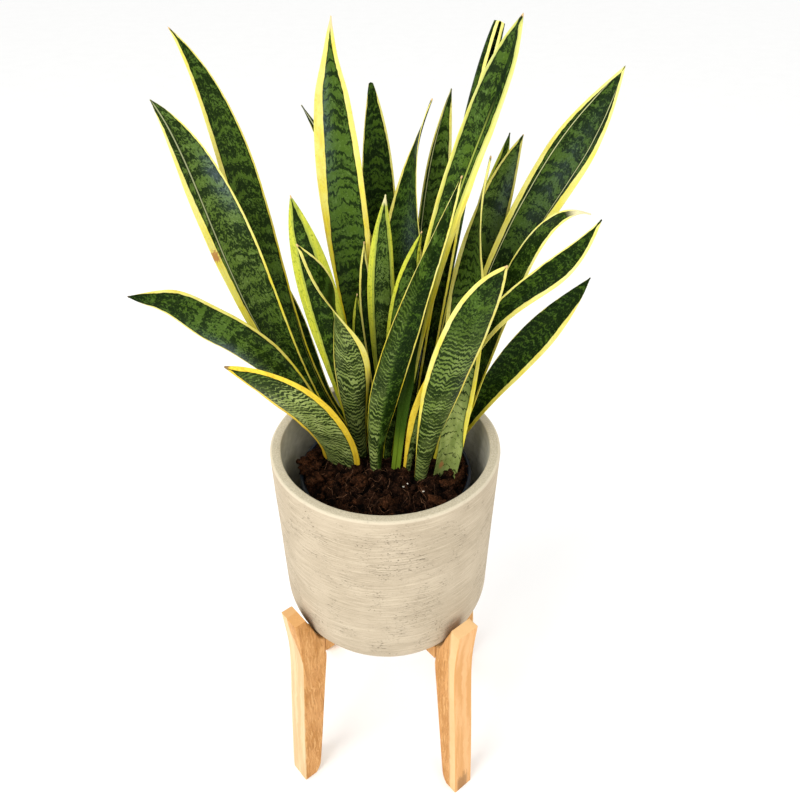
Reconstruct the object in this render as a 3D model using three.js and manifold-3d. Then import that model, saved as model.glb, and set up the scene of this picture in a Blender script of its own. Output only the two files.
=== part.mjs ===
// A potted laurentii snake plant: sword leaves in a nursery pot of soil, in a fibre-clay planter on a wooden stand.
// Millimetres, +Z up; the origin is on the floor, on the planter's axis. +Y looks to the plant's back.
import * as THREE from "three";
import { mergeVertices } from "three/addons/utils/BufferGeometryUtils.js";
import Module from "manifold-3d";

const wasm = await Module();
wasm.setup();

// Driving dimensions.
const GAP = 0.3; // between pieces that touch
const RIM_HEIGHT = 553; // floor to the planter's rim
const PLANTER = { rimRadius: 140, lowRadius: 135, footRadius: 108, height: 264, wall: 13, floor: 21 };
const PLANTER_ROUNDING = { footHeight: 50, rimEdge: 2.5, rimInnerEdge: 1, coveWidth: 22, coveHeight: 28 };
const NURSERY = { rimRadius: 107, topRadius: 104, footRadius: 80, wall: 1.5, height: 200, rimHeight: 11 };
const NURSERY_EDGE = { foot: 2, rim: 1 };
const SOIL = { depthBelowRim: 40, edgeDrop: 5, lump: 2.2, wallGap: 0.8, sectors: 40, rings: 8 };
const LEG = { width: 33, bevel: 1.5, count: 4, turn: -50 };
const BAR = { height: 23, seatRadius: 119 };
const TENON = { length: 12, width: 15, height: 12 };
const BLADE = { buried: 26, footThickness: 6, tipThickness: 2, marginThickness: 1.1, tipHalfWidth: 1, stations: 14 };

const PLANTER_BOTTOM = RIM_HEIGHT - PLANTER.height;
const NURSERY_BOTTOM = PLANTER_BOTTOM + PLANTER.floor + GAP;
const NURSERY_TOP = NURSERY_BOTTOM + NURSERY.height;
const SOIL_TOP = RIM_HEIGHT - SOIL.depthBelowRim;
const BAR_TOP = PLANTER_BOTTOM - GAP;

// A leg seen from its side: distance from the planter's axis, then height. It runs up the outside from the foot,
// over the flat top, and down the inside past the hollow that cradles the planter and the seat of the bar.
const LEG_OUTLINE = [
  [174, 0],
  [172, 42],
  [165, 150],
  [160, 215],
  [157, 280],
  [162, 347],
  [146, 347],
  [136, 321],
  [128, 299],
  [BAR.seatRadius + GAP, 291],
  [BAR.seatRadius + GAP, 262],
  [119, 250],
  [125, 196],
  [135, 104],
  [144, 30],
  [148, 0],
];

// The leaves, from the left to the right of the plant. Each line gives the leaf's number; the foot of its midrib,
// where it leaves the soil (x, y); two more points and the tip of the midrib (x, y and height over the soil); the
// blade's greatest width; and the way that its hollow side looks at those four points, in degrees seen from above:
// 0 is right, 90 back and -90 front. A leaf whose outline or cross-section differs from the rest says how.
const LEAVES = [
  leaf("01", [-48, 60], [-125, 76, 178], [-161, 94, 350], [-216, 112, 486], 44, [-60, -60, -60, -60]),
  leaf("02", [-57, 47], [-133, 46, 170], [-178, 40, 327], [-223, 32, 437], 50, [-60, -60, -60, -60], {
    footShare: 0.34,
  }),
  leaf("03", [-63, 29], [-116, 14, 124], [-178, -16, 209], [-256, -50, 266], 42, [70, 95, 110, 120], { taper: 2.8 }),
  leaf("04", [-60, 8], [-74, -14, 69], [-112, -30, 129], [-173, -38, 175], 60, [60, 70, 70, 70], {
    footShare: 1,
    hollow: [45, 18],
  }),
  leaf("05", [-22, 55], [-32, 57, 211], [-47, 60, 378], [-47, 60, 506], 46, [-90, -90, -90, -90]),
  leaf("06", [-4, 66], [-16, 76, 160], [-36, 88, 295], [-86, 100, 413], 34, [-90, -90, -90, -90]),
  leaf("07", [10, 74], [-2, 90, 165], [-6, 104, 312], [-13, 118, 431], 38, [-90, -90, -90, -90], { blunt: 0.15 }),
  leaf("08", [-35, 38], [-57, 33, 134], [-78, 28, 251], [-94, 22, 345], 45, [90, 90, 90, 90]),
  leaf("09", [-32, 20], [-38, 8, 118], [-50, -6, 218], [-87, -16, 309], 51, [90, 85, 20, -60]),
  leaf("10", [2, 35], [-3, 36, 149], [-3, 34, 254], [3, 32, 342], 32, [90, 90, 90, 90]),
  leaf("11", [14, 52], [19, 62, 161], [25, 72, 306], [51, 80, 425], 50, [-90, -90, -130, -210], { taper: 1.3 }),
  leaf("12", [30, 66], [46, 84, 162], [57, 98, 309], [72, 110, 427], 34, [-90, -90, -90, -90]),
  leaf("13", [13, -3], [44, 10, 224], [84, 22, 379], [130, 34, 513], 38, [-100, -120, -130, -130], {
    widest: 0.72,
  }),
  leaf("14", [-12, -8], [4, -14, 141], [42, -18, 275], [77, -22, 382], 42, [90, 70, 35, 30], { taper: 2.4 }),
  leaf("15", [34, 42], [61, 56, 205], [87, 74, 374], [115, 90, 496], 40, [-90, -90, -90, -90], {
    blunt: 0.4,
    hollow: [100, 110],
  }),
  leaf("16", [58, 36], [124, 62, 213], [181, 84, 332], [248, 100, 452], 52, [-110, -110, -110, -110], {
    widest: 0.74,
  }),
  leaf("17", [46, 53], [82, 74, 132], [115, 94, 269], [152, 110, 379], 48, [-100, -100, -100, -100]),
  leaf("18", [50, 70], [78, 92, 128], [112, 112, 260], [140, 132, 374], 36, [-100, -100, -100, -100]),
  leaf("19", [73, -9], [87, 2, 144], [95, 12, 266], [108, 22, 386], 44, [-90, -90, -140, -200], {
    footShare: 0.75,
  }),
  leaf("20", [79, 17], [117, 27, 140], [157, 32, 275], [220, 38, 317], 33, [-140, -140, -140, -140], {
    taper: 1.6,
  }),
  leaf("21", [60, 14], [111, 14, 182], [168, 6, 254], [220, -6, 331], 29, [-130, -130, -130, -130], {
    widest: 0.72,
  }),
  leaf("22", [84, 36], [134, 27, 111], [179, 12, 192], [219, -2, 264], 39, [-120, -120, -120, -120]),
  leaf("23", [44, -21], [61, -34, 113], [89, -46, 226], [122, -58, 306], 52, [100, 100, 100, 100], {
    footShare: 0.36,
    taper: 2.4,
  }),
  leaf("24", [27, -7], [38, -12, 67], [53, -17, 129], [68, -22, 186], 28, [110, 110, 110, 110]),
  leaf("25", [-8, 43], [-13, 45, 122], [-20, 46, 210], [-21, 46, 283], 18, [-90, -90, -90, -90]),
  leaf("26", [-36, 76], [-81, 86, 54], [-103, 96, 127], [-122, 104, 207], 23, [-70, -70, -70, -70]),
  leaf("27", [-19, 43], [-23, 44, 86], [-29, 46, 157], [-31, 48, 218], 20, [90, 90, 90, 90]),
  leaf("28", [2, 20], [13, 21, 128], [23, 22, 224], [41, 24, 305], 32, [90, 90, 90, 90]),
];

function leaf(number, foot, low, high, tip, width, looks, shape = {}) {
  return { name: `leaf_${number}`, foot, low, high, tip, width, looks, ...shape };
}

const FINISH = {
  clay: { color: 0xa9a18e, roughness: 0.9 },
  darkPlastic: { color: 0x20262c, roughness: 0.5 },
  soil: { color: 0x3b2218, roughness: 1 },
  wood: { color: 0xd2a468, roughness: 0.7 },
  leaf: { color: 0x3f6b2c, roughness: 0.4 },
};

function piece(name, geometry, finish) {
  const mesh = new THREE.Mesh(geometry, new THREE.MeshStandardMaterial({ ...FINISH[finish], metalness: 0 }));
  mesh.name = name;
  return mesh;
}

// Cutting and joining: a geometry as a solid, and back.
function solid(geometry) {
  const bare = new THREE.BufferGeometry().setAttribute("position", geometry.getAttribute("position"));
  bare.setIndex(geometry.index);
  const merged = mergeVertices(bare, 1e-3);
  const vertProperties = new Float32Array(merged.getAttribute("position").array);
  const triVerts = new Uint32Array(merged.index.array);
  return new wasm.Manifold(new wasm.Mesh({ numProp: 3, vertProperties, triVerts }));
}

function geometryOf(manifold) {
  const mesh = manifold.getMesh();
  const geometry = new THREE.BufferGeometry();
  geometry.setAttribute("position", new THREE.BufferAttribute(new Float32Array(mesh.vertProperties), 3));
  geometry.setIndex(new THREE.BufferAttribute(new Uint32Array(mesh.triVerts), 1));
  return geometry;
}

// A quarter of an ellipse from one radius and height to another, without its first point. The first half of the
// turn is flat to the radius when flatFirst is true, as at a pot's foot.
function rounding(from, to, steps, flatFirst) {
  return Array.from({ length: steps }, (unused, i) => {
    const angle = ((i + 1) / steps) * (Math.PI / 2);
    const along = flatFirst ? Math.sin(angle) : 1 - Math.cos(angle);
    const up = flatFirst ? 1 - Math.cos(angle) : Math.sin(angle);
    return [from[0] + (to[0] - from[0]) * along, from[1] + (to[1] - from[1]) * up];
  });
}

function turned(profile, segments) {
  return new THREE.LatheGeometry(profile.map(([r, z]) => new THREE.Vector2(r, z)), segments).rotateX(Math.PI / 2);
}

// The planter: a round tub with a slight taper, a rounded foot, a flat rim and a cove inside, round its floor.
function planter() {
  const { rimRadius, lowRadius, footRadius, wall, floor } = PLANTER;
  const { footHeight, rimEdge, rimInnerEdge, coveWidth, coveHeight } = PLANTER_ROUNDING;
  const outerFoot = [footRadius, PLANTER_BOTTOM];
  const outerRim = [rimRadius, RIM_HEIGHT - rimEdge];
  const innerRim = rimRadius - wall;
  const innerFloor = PLANTER_BOTTOM + floor;
  const coveTop = [lowRadius - wall, innerFloor + coveHeight];
  return turned(
    [
      [0, PLANTER_BOTTOM],
      outerFoot,
      ...rounding(outerFoot, [lowRadius, PLANTER_BOTTOM + footHeight], 6, true),
      outerRim,
      ...rounding(outerRim, [rimRadius - rimEdge, RIM_HEIGHT], 2, false),
      [innerRim + rimInnerEdge, RIM_HEIGHT],
      [innerRim, RIM_HEIGHT - rimInnerEdge],
      coveTop,
      ...rounding(coveTop, [coveTop[0] - coveWidth, innerFloor], 4, false),
      [0, innerFloor],
    ],
    56,
  );
}

// The wall of the nursery pot, inside, at a height.
function nurseryInside(z) {
  const share = (z - NURSERY_BOTTOM) / NURSERY.height;
  return NURSERY.footRadius + (NURSERY.topRadius - NURSERY.footRadius) * share - NURSERY.wall;
}

function nurseryPot() {
  const { rimRadius, topRadius, footRadius, wall, rimHeight } = NURSERY;
  const lip = NURSERY_TOP - rimHeight;
  return turned(
    [
      [0, NURSERY_BOTTOM],
      [footRadius - NURSERY_EDGE.foot, NURSERY_BOTTOM],
      [footRadius, NURSERY_BOTTOM + NURSERY_EDGE.foot],
      [nurseryInside(lip) + wall, lip],
      [rimRadius, lip],
      [rimRadius, NURSERY_TOP - NURSERY_EDGE.rim],
      [rimRadius - NURSERY_EDGE.rim, NURSERY_TOP],
      [topRadius - wall, NURSERY_TOP],
      [nurseryInside(NURSERY_BOTTOM + wall), NURSERY_BOTTOM + wall],
      [0, NURSERY_BOTTOM + wall],
    ],
    48,
  );
}

// The soil's surface: a low mound with lumps, which sinks towards the pot's wall.
function soilHeight(x, y) {
  const reach = Math.hypot(x, y) / NURSERY.topRadius;
  const lumps =
    Math.sin(x * 0.21 + 1.3) * Math.sin(y * 0.19 + 0.4) +
    0.7 * Math.sin(x * 0.37 + y * 0.29 + 2.1) +
    0.5 * Math.sin(y * 0.53 - x * 0.41);
  return SOIL_TOP - SOIL.edgeDrop * reach * reach + SOIL.lump * lumps;
}

function soilBody() {
  const floor = NURSERY_BOTTOM + NURSERY.wall + GAP;
  const rim = nurseryInside(SOIL_TOP - SOIL.edgeDrop) - SOIL.wallGap;
  const positions = [];
  const index = [];
  const ringAt = (radius, height) => {
    for (let i = 0; i < SOIL.sectors; i++) {
      const angle = (i / SOIL.sectors) * 2 * Math.PI;
      const [x, y] = [radius * Math.cos(angle), radius * Math.sin(angle)];
      positions.push(x, y, height === undefined ? soilHeight(x, y) : height);
    }
  };
  positions.push(0, 0, floor);
  ringAt(nurseryInside(floor) - SOIL.wallGap, floor);
  for (let ring = SOIL.rings; ring > 0; ring--) ringAt((rim * ring) / SOIL.rings);
  positions.push(0, 0, soilHeight(0, 0));
  const at = (ring, i) => 1 + ring * SOIL.sectors + (i % SOIL.sectors);
  const top = positions.length / 3 - 1;
  for (let i = 0; i < SOIL.sectors; i++) {
    index.push(0, at(0, i + 1), at(0, i));
    for (let ring = 0; ring < SOIL.rings; ring++) {
      index.push(at(ring, i), at(ring, i + 1), at(ring + 1, i + 1));
      index.push(at(ring, i), at(ring + 1, i + 1), at(ring + 1, i));
    }
    index.push(at(SOIL.rings, i), at(SOIL.rings, i + 1), top);
  }
  return new THREE.BufferGeometry()
    .setAttribute("position", new THREE.Float32BufferAttribute(positions, 3))
    .setIndex(index);
}

// The midrib as one smooth curve through its four points, evenly spread along it.
function midrib({ foot, low, high, tip }) {
  const [a, b, c, d] = [[...foot, 0], low, high, tip].map((p) => new THREE.Vector3(...p));
  const blend = (wa, wb, wc, wd) =>
    new THREE.Vector3()
      .addScaledVector(a, wa / 6)
      .addScaledVector(b, wb / 6)
      .addScaledVector(c, wc / 6)
      .addScaledVector(d, wd / 6);
  return new THREE.CubicBezierCurve3(a, blend(-5, 18, -9, 2), blend(2, -9, 18, -5), d);
}

// Half the blade's width at a share t of its length: narrow at the foot, widest past the middle, pointed at the tip.
// A cut or rolled tip is blunt, and a larger taper keeps the blade wide for longer.
function halfWidth({ width, widest = 0.54, footShare = 0.42, taper = 2, blunt = 0 }, t) {
  const rise = Math.sin((Math.PI / 2) * Math.min(1, t / widest)) ** 1.5;
  const past = Math.max(0, (t - widest) / (1 - widest));
  const share = (footShare + (1 - footShare) * rise) * (1 - (1 - blunt) * past ** taper);
  return Math.max(BLADE.tipHalfWidth, (width / 2) * share);
}

// The blade's cross-section is an arc: how far it curls to each side of the midrib, in radians.
function curl({ hollow = [70, 18] }, t) {
  return THREE.MathUtils.degToRad(hollow[1] + (hollow[0] - hollow[1]) * (1 - t) ** 2);
}

// The way that the hollow side looks, smoothly through its four values.
function look({ looks: [foot, low, high, tip] }, t) {
  const [toLow, toHigh, toTip] = [3 * t - 1, 3 * t - 2, t - 1];
  const twice = 9 * t * toTip * (low * toHigh - high * toLow) + toLow * toHigh * (tip * t - foot * toTip);
  return THREE.MathUtils.degToRad(twice / 2);
}

// One ring of the blade at a share t of its length, or below the soil where down is over zero. grow makes it fatter
// all round, as for the hole that it stands in.
const ACROSS = [-1, -0.55, 0, 0.55, 1];

function bladeRing(leaf, t, down, grow) {
  const rib = midrib(leaf);
  const along = rib.getTangent(t).normalize();
  const centre = rib.getPoint(t).addScaledVector(along, -down);
  const angle = look(leaf, t);
  const inward = new THREE.Vector3(Math.cos(angle), Math.sin(angle), 0);
  inward.addScaledVector(along, -inward.dot(along)).normalize();
  const sideways = along.clone().cross(inward);
  const bend = curl(leaf, t);
  const half = halfWidth(leaf, t) + grow;
  const thick = BLADE.tipThickness + (BLADE.footThickness - BLADE.tipThickness) * (1 - t) ** 2;
  const point = (u, side) => {
    const skin = (BLADE.marginThickness + (thick - BLADE.marginThickness) * (1 - u * u)) / 2 + grow;
    const radius = half / bend - side * skin;
    return centre
      .clone()
      .addScaledVector(sideways, radius * Math.sin(u * bend))
      .addScaledVector(inward, half / bend - radius * Math.cos(u * bend));
  };
  return [...ACROSS.map((u) => point(u, 1)), ...ACROSS.map((u) => point(u, -1)).reverse()];
}

// A closed skin over a run of rings: the sides, then the two ends as strips between the inner and outer faces.
function skinOver(rings) {
  const size = rings[0].length;
  const index = [];
  for (let ring = 0; ring + 1 < rings.length; ring++) {
    for (let i = 0; i < size; i++) {
      const [a, b] = [ring * size + i, ring * size + ((i + 1) % size)];
      index.push(a, b, b + size, a, b + size, a + size);
    }
  }
  const last = (rings.length - 1) * size;
  for (let i = 0; i < ACROSS.length - 1; i++) {
    const [a, b, c, d] = [i, i + 1, size - 2 - i, size - 1 - i];
    index.push(a, d, c, a, c, b);
    index.push(last + a, last + c, last + d, last + a, last + b, last + c);
  }
  return new THREE.BufferGeometry()
    .setAttribute("position", new THREE.Float32BufferAttribute(rings.flat().flatMap((p) => p.toArray()), 3))
    .setIndex(index);
}

// Stations lie closer together towards the tip, where the blade narrows.
function stationAt(i) {
  return Math.sin((Math.PI / 2) * (i / BLADE.stations)) ** 0.94;
}

function leafBlade(leaf) {
  const rings = [bladeRing(leaf, 0, BLADE.buried, 0)];
  for (let i = 0; i <= BLADE.stations; i++) rings.push(bladeRing(leaf, stationAt(i), 0, 0));
  return skinOver(rings);
}

// The hole that a leaf stands in: its own foot, a gap larger all round.
function leafHole(leaf) {
  return skinOver([
    bladeRing(leaf, 0, BLADE.buried + GAP, GAP),
    bladeRing(leaf, 0, 0, GAP),
    bladeRing(leaf, stationAt(1), 0, GAP),
  ]);
}

// A leg, from its outline, with its long edges eased. The bar's tenon goes into a mortise in its seat.
function leg() {
  const { width, bevel } = LEG;
  const outline = new THREE.Shape(LEG_OUTLINE.map(([r, z]) => new THREE.Vector2(r, z)));
  const board = new THREE.ExtrudeGeometry(outline, {
    depth: width - 2 * bevel,
    bevelThickness: bevel,
    bevelSize: bevel,
    bevelOffset: -bevel,
    bevelSegments: 1,
  });
  board.rotateX(Math.PI / 2).translate(0, width / 2 - bevel, 0);
  const { length, width: tenonWidth, height } = TENON;
  const mortise = new THREE.BoxGeometry(2 * (length + GAP), tenonWidth + 2 * GAP, height + 2 * GAP);
  mortise.translate(BAR.seatRadius + GAP, 0, BAR_TOP - BAR.height / 2);
  return geometryOf(solid(board).subtract(solid(mortise)));
}

// A bar from leg to leg, with a tenon at each end. Where the two bars cross, each gives up half its height.
function bar(notchOnTop) {
  const middle = BAR_TOP - BAR.height / 2;
  const beam = new THREE.BoxGeometry(2 * BAR.seatRadius, LEG.width, BAR.height).translate(0, 0, middle);
  const reach = 2 * (BAR.seatRadius + TENON.length);
  const tenons = new THREE.BoxGeometry(reach, TENON.width, TENON.height).translate(0, 0, middle);
  const notch = new THREE.BoxGeometry(LEG.width + 2 * GAP, LEG.width + 2 * GAP, BAR.height + GAP);
  notch.translate(0, 0, notchOnTop ? BAR_TOP + GAP / 2 : BAR_TOP - BAR.height - GAP / 2);
  return geometryOf(solid(beam).add(solid(tenons)).subtract(solid(notch)));
}

const plant = new THREE.Group();

const stand = new THREE.Group();
stand.rotation.z = THREE.MathUtils.degToRad(LEG.turn);
for (let i = 0; i < LEG.count; i++) {
  const mesh = piece(`leg_${i + 1}`, leg(), "wood");
  mesh.rotation.z = (i * 2 * Math.PI) / LEG.count;
  stand.add(mesh);
}
for (const [i, name] of ["bar_lower", "bar_upper"].entries()) {
  const mesh = piece(name, bar(i === 0), "wood");
  mesh.rotation.z = (i * Math.PI) / 2;
  stand.add(mesh);
}
plant.add(stand);

plant.add(piece("planter", planter(), "clay"));
plant.add(piece("nursery_pot", nurseryPot(), "darkPlastic"));

const tuft = new THREE.Group();
tuft.position.z = SOIL_TOP;
for (const leaf of LEAVES) tuft.add(piece(leaf.name, leafBlade(leaf), "leaf"));
plant.add(tuft);

let soil = solid(soilBody());
for (const leaf of LEAVES) soil = soil.subtract(solid(leafHole(leaf).translate(0, 0, SOIL_TOP)));
plant.add(piece("soil", geometryOf(soil), "soil"));

export default plant;
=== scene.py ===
import random
from math import cos, hypot, pi, radians, sin

import bmesh
import bpy
from mathutils import Matrix, Vector, noise


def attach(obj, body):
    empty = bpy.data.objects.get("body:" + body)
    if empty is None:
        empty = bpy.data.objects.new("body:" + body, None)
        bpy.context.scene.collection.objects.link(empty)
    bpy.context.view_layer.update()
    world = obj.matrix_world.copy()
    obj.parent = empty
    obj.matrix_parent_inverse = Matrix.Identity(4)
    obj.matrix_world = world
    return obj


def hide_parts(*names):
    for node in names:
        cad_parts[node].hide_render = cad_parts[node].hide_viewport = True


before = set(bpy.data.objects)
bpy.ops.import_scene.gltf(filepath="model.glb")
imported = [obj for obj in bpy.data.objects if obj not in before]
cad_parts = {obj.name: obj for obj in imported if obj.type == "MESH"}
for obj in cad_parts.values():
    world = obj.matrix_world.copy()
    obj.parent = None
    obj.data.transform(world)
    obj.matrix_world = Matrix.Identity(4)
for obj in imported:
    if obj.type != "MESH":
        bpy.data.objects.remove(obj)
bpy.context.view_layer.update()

# A potted laurentii snake plant on a wooden stand. Lengths below are in millimetres; MM makes them metres.
# The origin is on the floor, on the planter's axis, +Z is up and +Y is the plant's back, as in the CAD part.
scene = bpy.context.scene
MM = 0.001


# The picture. The camera stands in front of the plant and looks down on it by 36 degrees, as the
# photograph's did. The floor and the light round the plant are plain and nearly white, and a large soft
# lamp shines from upper left.
def paint(code):
    """A colour written as on a paint card, #rrggbb, in the linear values that Blender reckons with."""
    shades = [int(code[i : i + 2], 16) / 255 for i in (1, 3, 5)]
    linear = [s / 12.92 if s <= 0.04045 else ((s + 0.055) / 1.055) ** 2.4 for s in shades]
    return (*linear, 1)


class Finish:
    """A material built node by node. An input may be a number, a colour's code or another node's output."""

    def __init__(self, name, roughness, gloss=0.25):
        self.material = bpy.data.materials.new(name)
        self.material.use_nodes = True
        self.tree = self.material.node_tree
        self.shader = self.tree.nodes["Principled BSDF"]
        self.give("Roughness", roughness)
        self.give("Specular IOR Level", gloss)

    def plug(self, socket, value):
        if isinstance(value, bpy.types.NodeSocket):
            self.tree.links.new(value, socket)
        else:
            socket.default_value = paint(value) if isinstance(value, str) else value

    def give(self, name, value):
        self.plug(self.shader.inputs[name], value)

    def node(self, kind, inputs, output=0, **settings):
        added = self.tree.nodes.new("ShaderNode" + kind)
        for setting, value in settings.items():
            setattr(added, setting, value)
        for place, value in inputs.items():
            self.plug(added.inputs[place], value)
        return added.outputs[output]

    def math(self, operation, *values):
        return self.node("Math", dict(enumerate(values)), operation=operation)

    def plus(self, *values):
        total = values[0]
        for value in values[1:]:
            total = self.math("ADD", total, value)
        return total

    def times(self, first, second):
        return self.math("MULTIPLY", first, second)

    def stray(self, value, size):
        """How far a noise strays to either side of its middle."""
        return self.times(self.plus(value, -0.5), size)

    def join(self, x, y, z):
        return self.node("CombineXYZ", {0: x, 1: y, 2: z})

    def parts(self, vector):
        return [self.node("SeparateXYZ", {0: vector}, output=axis) for axis in range(3)]

    def attribute(self, name):
        return self.parts(self.node("Attribute", {}, output=1, attribute_name=name))

    def rise(self, value, low, high, start=0, end=1):
        """Goes smoothly from start to end while the value goes from low to high."""
        inputs = {0: value, 1: low, 2: high, 3: start, 4: end}
        return self.node("MapRange", inputs, interpolation_type="SMOOTHSTEP")

    def cloud(self, spot, detail=2, rough=0.5, scale=1):
        """Soft noise between 0 and 1 whose lumps are one unit of the spot across."""
        inputs = {"Vector": spot, "Scale": scale, "Detail": detail, "Roughness": rough}
        return self.node("TexNoise", inputs)

    def drawn(self, place, fineness, detail=2, rough=0.5):
        """The same noise drawn out: its fineness along X, Y and Z is in lumps per millimetre."""
        return self.cloud(self.join(*(self.times(*pair) for pair in zip(place, fineness))), detail, rough)

    def mix(self, share, first, second):
        """Two colours mixed: the first where the share is 0, the second where it is 1."""
        return self.node("Mix", {0: share, 6: first, 7: second}, output=2, data_type="RGBA")

    def relief(self, height, depth):
        """Fine relief on the surface; the depth is in millimetres."""
        inputs = {"Height": height, "Distance": depth * MM, "Strength": 1}
        self.give("Normal", self.node("Bump", inputs))

    def spot(self, turn=0):
        """The point in millimetres, after the object is turned back about Z."""
        point = self.node("TexCoord", {}, output=3)
        inputs = {"Vector": point, "Rotation": (0, 0, -turn), "Scale": (1 / MM, 1 / MM, 1 / MM)}
        return self.node("Mapping", inputs)

    def place(self, turn=0):
        """The same point as distances along X, Y and Z."""
        return self.parts(self.spot(turn))


def show(name, bm, finish):
    """A finished mesh as an object with its finish. Its faces are smooth up to the edges marked as sharp."""
    mesh = bpy.data.meshes.new(name)
    for face in bm.faces:
        face.smooth = True
    bm.to_mesh(mesh)
    bm.free()
    mesh.materials.append(finish.material)
    shown = bpy.data.objects.new(name, mesh)
    scene.collection.objects.link(shown)
    return shown


CAMERA_SPOT = (0.0179, -0.7606, 1.1683)
LOOKS_DOWN = 36
FILM_WIDTH = 36
camera = bpy.data.objects.new("camera", bpy.data.cameras.new("camera"))
camera.data.sensor_width = FILM_WIDTH
camera.data.lens = FILM_WIDTH
camera.location = CAMERA_SPOT
camera.rotation_euler = (radians(90 - LOOKS_DOWN), 0, 0)
scene.collection.objects.link(camera)
scene.camera = camera
scene.view_settings.view_transform = "Standard"

FLOOR_SIZE = 60000
floor_bm = bmesh.new()
bmesh.ops.create_grid(floor_bm, x_segments=8, y_segments=8, size=FLOOR_SIZE / 2 * MM)
floor_paint = Finish("floor_paint", 0.9)
floor_x, floor_y, _ = floor_paint.place()
floor_shade = floor_paint.cloud(floor_paint.join(floor_x, floor_y, 0), scale=0.01)
floor_paint.give("Base Color", floor_paint.mix(floor_shade, "#f9f9f8", "#fdfdfc"))
floor = show("floor", floor_bm, floor_paint)

world = bpy.data.worlds.new("pale_room")
world.use_nodes = True
background = world.node_tree.nodes["Background"].inputs
background["Color"].default_value = paint("#ffffff")
background["Strength"].default_value = 1
scene.world = world


def soft_lamp(name, spot, aim, size, watts):
    lamp = bpy.data.lights.new(name, "AREA")
    lamp.size = size
    lamp.energy = watts
    stand = bpy.data.objects.new(name, lamp)
    stand.location = spot
    stand.rotation_euler = (Vector(aim) - Vector(spot)).to_track_quat("-Z", "Y").to_euler()
    scene.collection.objects.link(stand)


soft_lamp("key_lamp", spot=(-1.5, -1.5, 2.2), aim=(0, 0, 0.5), size=1.6, watts=46)
soft_lamp("fill_lamp", spot=(1.6, -1.2, 1), aim=(0, 0, 0.4), size=1.8, watts=8)


# The stand: four legs sawn from solid pale wood, with a face 33 mm wide that looks outwards and a hollow on
# the inside that cradles the planter. Two bars under the planter join them, half-lapped where they cross.
LEG_WIDTH = 33
LEG_EDGE = 2.2
LEG_TURN = -50
FOOT_REACH = 174
KNEE_REACH = 157
KNEE_HEIGHT = 280
SEAT_REACH = 119.3
SEAT_HEIGHT = 276.5
LEG_OUTSIDE = ((FOOT_REACH, 0), (172, 42), (165, 150), (160, 215), (KNEE_REACH, KNEE_HEIGHT), (162, 347))
LEG_CRADLE = ((146, 347), (136, 321), (128, 299), (SEAT_REACH, 291))
LEG_INSIDE = ((SEAT_REACH, 262), (119, 250), (125, 196), (135, 104), (142.5, 38), (146.5, 13), (154, 0))
MORTISE = {"width": 15.6, "low": 271, "high": 283.6, "depth": 12.3}


def through(points, steps):
    """A smooth run through a few points, with a number of steps from each one to the next."""
    ends = [Vector(point) for point in (points[0], *points, points[-1])]
    run = []
    for a, b, c, d in zip(ends, ends[1:], ends[2:], ends[3:]):
        for t in (i / steps for i in range(steps)):
            bend = (2 * a - 5 * b + 4 * c - d) * t + (3 * b - a - 3 * c + d) * t * t
            run.append(b + ((c - a) + bend) * t / 2)
    return [*run, ends[-1]]


def new_verts(grown):
    return [part for part in grown["geom"] if isinstance(part, bmesh.types.BMVert)]


def settle(bm, flat_area):
    """Points the faces outwards and keeps the edges of the large flat faces sharp."""
    bmesh.ops.recalc_face_normals(bm, faces=bm.faces)
    for edge in bm.edges:
        flat = any(face.calc_area() > flat_area for face in edge.link_faces)
        edge.smooth = not flat and edge.calc_face_angle(0) < radians(35)


def to_metres(bm):
    bmesh.ops.scale(bm, verts=bm.verts, vec=(MM, MM, MM))


def leg_mesh(turn):
    """A leg's outline given its width, with the mortise for the bar in its seat, and turned to its place."""
    outline = [*through(LEG_OUTSIDE, 6), *through(LEG_CRADLE, 5), *through(LEG_INSIDE, 6)]
    bm = bmesh.new()
    side = bm.faces.new([bm.verts.new((r, -LEG_WIDTH / 2, z)) for r, z in outline])
    far_side = new_verts(bmesh.ops.extrude_face_region(bm, geom=[side], use_keep_orig=True))
    bmesh.ops.translate(bm, verts=far_side, vec=(0, LEG_WIDTH, 0))
    bmesh.ops.recalc_face_normals(bm, faces=bm.faces)

    middle = Vector((SEAT_REACH, 0, SEAT_HEIGHT))
    seat = min(bm.faces, key=lambda face: (face.calc_center_median() - middle).length)
    bmesh.ops.inset_region(bm, faces=[seat], thickness=4)
    for vert in seat.verts:
        vert.co.y = MORTISE["width"] / 2 * (1 if vert.co.y > 0 else -1)
        vert.co.z = MORTISE["high"] if vert.co.z > SEAT_HEIGHT else MORTISE["low"]
    socket = new_verts(bmesh.ops.extrude_face_region(bm, geom=[seat]))
    bmesh.ops.translate(bm, verts=socket, vec=(MORTISE["depth"], 0, 0))

    sides = [face for face in bm.faces if len(face.verts) > 8]
    long_edges = list({edge for face in sides for edge in face.edges})
    bmesh.ops.bevel(
        bm, geom=long_edges, offset=LEG_EDGE, segments=4, affect="EDGES", profile=0.5, material=-1,
        clamp_overlap=True,
    )
    settle(bm, flat_area=200)
    bmesh.ops.rotate(bm, verts=bm.verts, cent=(0, 0, 0), matrix=Matrix.Rotation(turn, 3, "Z"))
    to_metres(bm)
    return bm


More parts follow.
